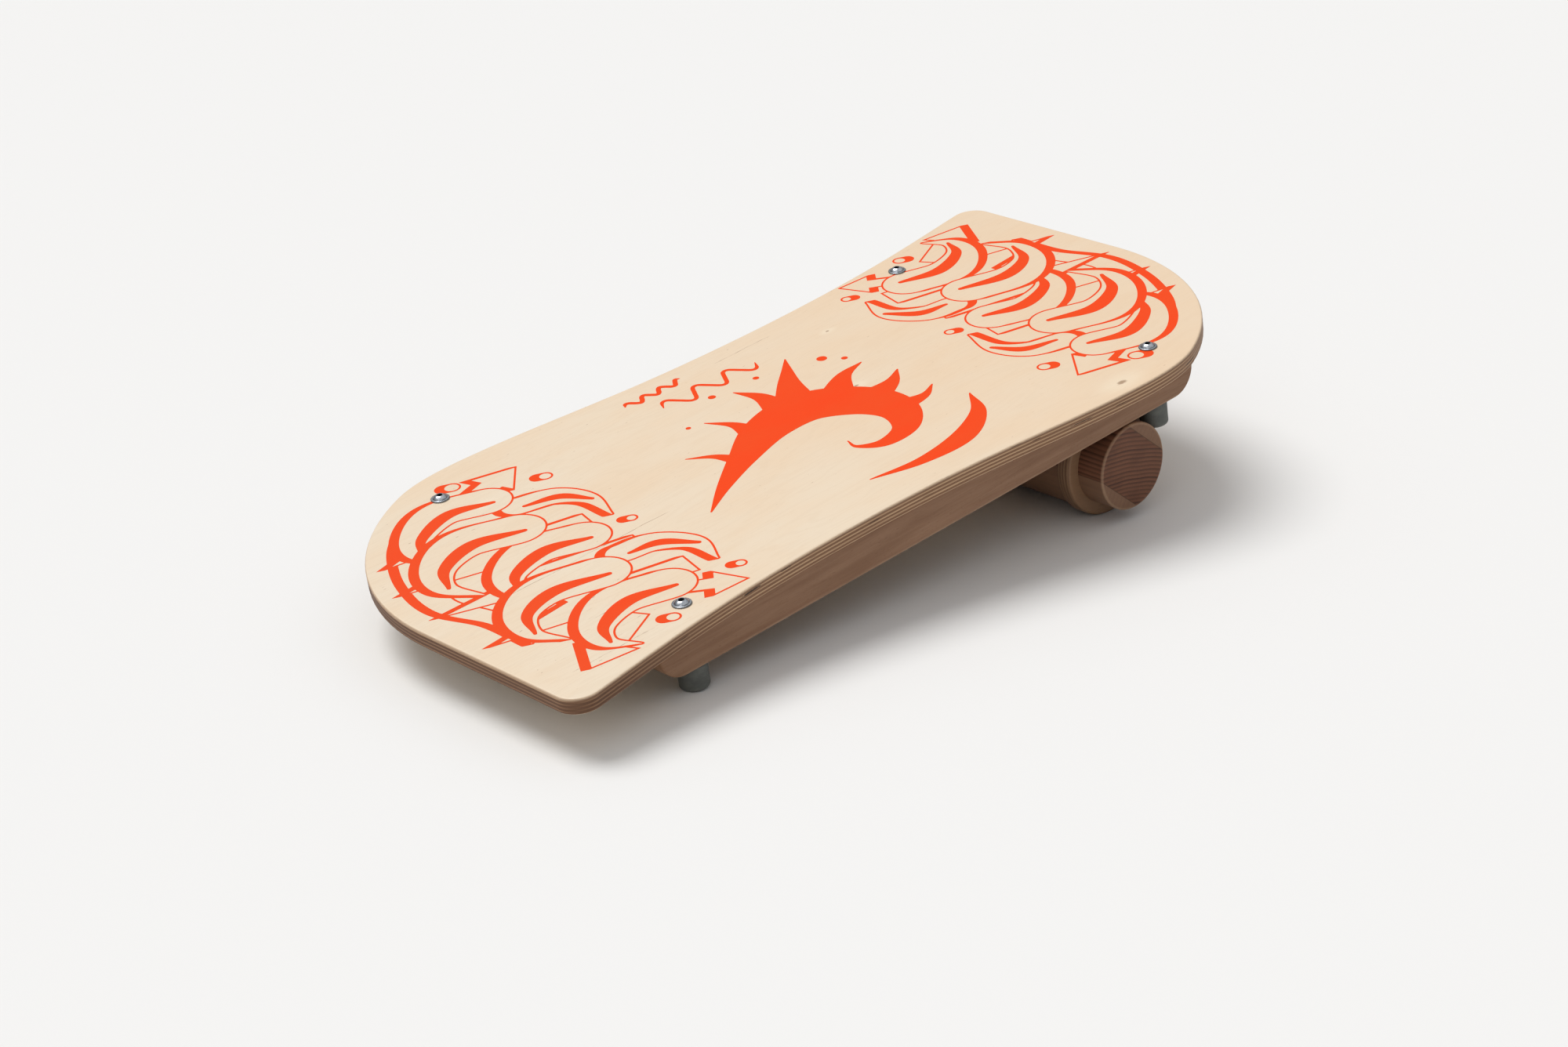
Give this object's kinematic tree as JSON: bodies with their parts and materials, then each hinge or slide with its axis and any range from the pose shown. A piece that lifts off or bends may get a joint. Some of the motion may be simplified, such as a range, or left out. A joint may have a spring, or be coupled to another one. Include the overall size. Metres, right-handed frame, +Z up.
{
  "type": "balance board",
  "caption": "Waisted plywood balance board on two rails, with stop pegs and a loose wooden roller that runs between the rails.",
  "frame": {"origin": "on the ground, under the centre of the whole board's bounding box, in its resting pose with the roller against the right-hand pegs", "axes": "+X along the board towards its raised end, +Z up, +Y across the board"},
  "size_m": [0.6946, 0.339, 0.1411],
  "materials": {
    "deck_plywood": "satin lacquered birch plywood with an orange print on the top face",
    "rail_beech": "satin lacquered solid wood",
    "disc_plywood": "satin birch plywood, plies showing on the rim",
    "roller_wood": "turned glued-up hardwood, satin",
    "peg_rubber": "matt grey rubber",
    "bush_steel": "plain steel",
    "bolt_zinc": "bright zinc plated"
  },
  "bodies": {
    "board": {"deck": "deck_plywood", "rail_front": "rail_beech", "rail_back": "rail_beech", "stop_peg_front_left": "peg_rubber", "stop_peg_front_right": "peg_rubber", "stop_peg_back_left": "peg_rubber", "stop_peg_back_right": "peg_rubber", "peg_bush_front_left": "bush_steel", "peg_bush_front_right": "bush_steel", "peg_bush_back_left": "bush_steel", "peg_bush_back_right": "bush_steel", "bolt_front_left": "bolt_zinc", "bolt_front_right": "bolt_zinc", "bolt_back_left": "bolt_zinc", "bolt_back_right": "bolt_zinc"},
    "roller_centre": {"roller_core": "roller_wood"},
    "roller": {"roller_stave_lower": "roller_wood", "roller_stave_middle": "roller_wood", "roller_stave_upper": "roller_wood", "guide_disc_front": "disc_plywood", "guide_disc_back": "disc_plywood"}
  },
  "joints": [
    {"name": "roller_travel", "type": "slide", "parent": "board", "child": "roller_centre", "axis": [0.9904, 0, 0.1384], "range_m": [-0.37226, 0]},
    {"name": "roller_spin", "type": "hinge", "parent": "roller_centre", "child": "roller", "pos_m": [0.19407, 0, 0.043], "axis": [0, 1, 0], "range_deg": [0, 646.8]}
  ],
  "couplings": [
    {"joint": "roller_spin", "follows": "roller_travel", "rad_per_m": -30.303}
  ]
}
